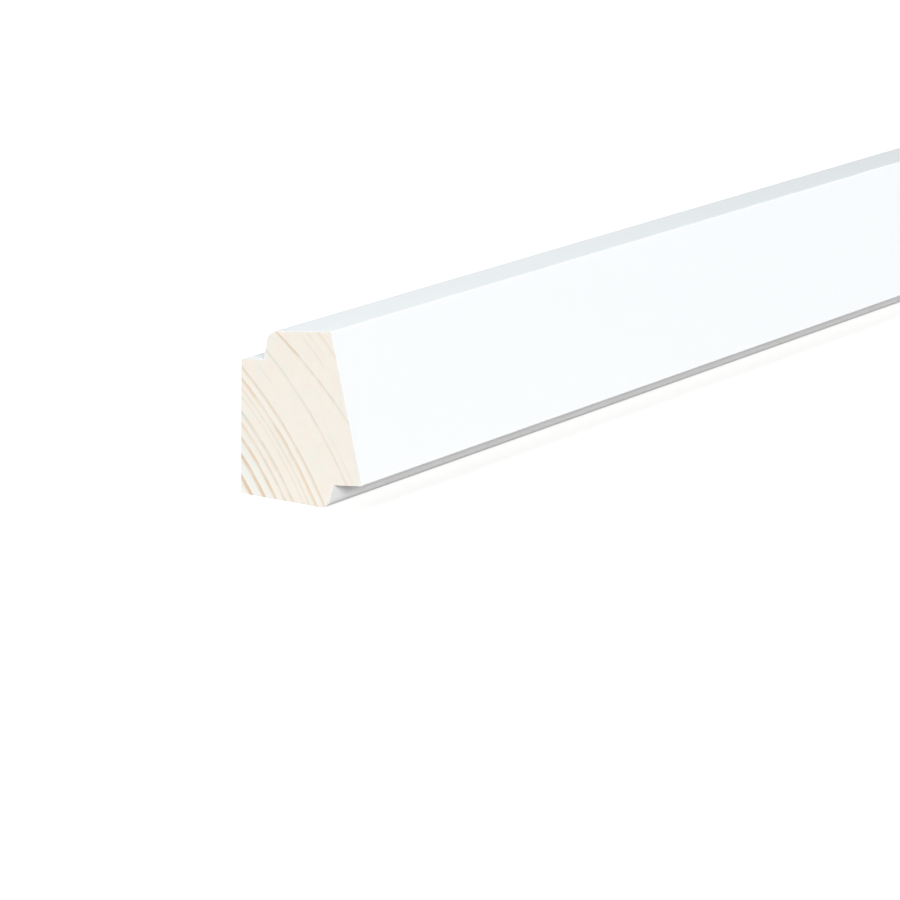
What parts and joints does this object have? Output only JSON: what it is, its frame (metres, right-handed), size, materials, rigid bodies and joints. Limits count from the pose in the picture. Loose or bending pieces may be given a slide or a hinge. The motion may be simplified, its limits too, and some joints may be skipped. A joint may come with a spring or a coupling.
{
  "type": "ceiling moulding",
  "caption": "Straight length of white-painted solid pine ceiling moulding with a leaning front, a rounded step on the wall side and a shadow rebate under the nose, sawn square at both ends.",
  "frame": {"origin": "on the ceiling face, half way along the length and half way across the width", "axes": "+X along the length, +Y out of the wall face, -Y out of the moulded front, +Z away from the ceiling face"},
  "size_m": [0.33, 0.0334, 0.041],
  "materials": {
    "painted_pine": "smooth satin white paint on the moulded faces, bare sawn pine with growth rings at the ends and on the wall and ceiling faces"
  },
  "bodies": {
    "root": {"ceiling_moulding": "painted_pine"}
  },
  "joints": []
}
